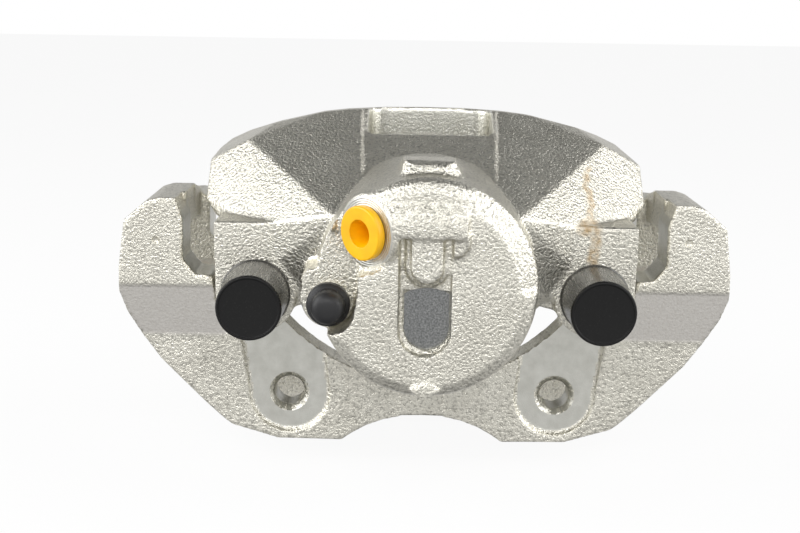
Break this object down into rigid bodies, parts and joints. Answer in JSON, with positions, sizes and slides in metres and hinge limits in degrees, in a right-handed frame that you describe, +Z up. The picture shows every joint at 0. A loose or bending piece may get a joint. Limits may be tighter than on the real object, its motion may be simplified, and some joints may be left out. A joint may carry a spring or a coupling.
{
  "type": "brake caliper with carrier bracket",
  "caption": "Sliding single-piston brake caliper on its carrier bracket, with guide pins, bushes, caps, bleed screw and hose port.",
  "frame": {"origin": "midway between the two knuckle holes, on the milled plane that meets the knuckle", "axes": "+X along the carrier, +Y outboard towards the wheel, +Z up and away from the hub"},
  "size_m": [0.2118, 0.139, 0.123],
  "materials": {
    "cast_zinc": "sand-cast iron with bright zinc plating, coarse grain",
    "chromed_steel": "ground and chromed",
    "plated_steel": "turned, zinc plated",
    "rubber": "moulded EPDM rubber",
    "liner_plastic": "natural nylon",
    "black_plastic": "moulded, satin",
    "yellow_plastic": "moulded polyethylene"
  },
  "bodies": {
    "carrier": {"carrier": "cast_zinc", "guide_pin_left": "plated_steel", "guide_pin_right": "plated_steel"},
    "housing": {"housing": "cast_zinc", "piston_seal": "rubber", "dust_boot": "rubber", "guide_bush_left": "rubber", "guide_bush_right": "rubber", "bush_liner_left": "liner_plastic", "bush_liner_right": "liner_plastic"},
    "piston": {"piston": "chromed_steel"},
    "bleed_screw": {"bleed_screw": "plated_steel"},
    "bleed_cap": {"bleed_cap": "rubber"},
    "hose_port_plug": {"hose_port_plug": "yellow_plastic"},
    "bush_cap_left": {"bush_cap_left": "black_plastic"},
    "bush_cap_right": {"bush_cap_right": "black_plastic"}
  },
  "joints": [
    {"name": "housing_slide", "type": "slide", "parent": "carrier", "child": "housing", "axis": [0, -1, 0], "range_m": [-0.0015, 0.014]},
    {"name": "piston_slide", "type": "slide", "parent": "housing", "child": "piston", "axis": [0, 1, 0], "range_m": [0, 0.025], "deforming": ["dust_boot"]},
    {"name": "bleed_screw_turn", "type": "hinge", "parent": "housing", "child": "bleed_screw", "pos_m": [-0.0308, -0.047, 0.0436], "axis": [0, -1, 0], "range_deg": [0, 360]},
    {"name": "bleed_cap_pull", "type": "slide", "parent": "bleed_screw", "child": "bleed_cap", "axis": [0, -1, 0], "range_m": [0, 0.02]},
    {"name": "hose_port_plug_pull", "type": "slide", "parent": "housing", "child": "hose_port_plug", "axis": [-0.7008, -0.7108, -0.0601], "range_m": [0, 0.02]},
    {"name": "bush_cap_left_pull", "type": "slide", "parent": "housing", "child": "bush_cap_left", "axis": [0, -1, 0], "range_m": [0, 0.03]},
    {"name": "bush_cap_right_pull", "type": "slide", "parent": "housing", "child": "bush_cap_right", "axis": [0, -1, 0], "range_m": [0, 0.03]}
  ]
}
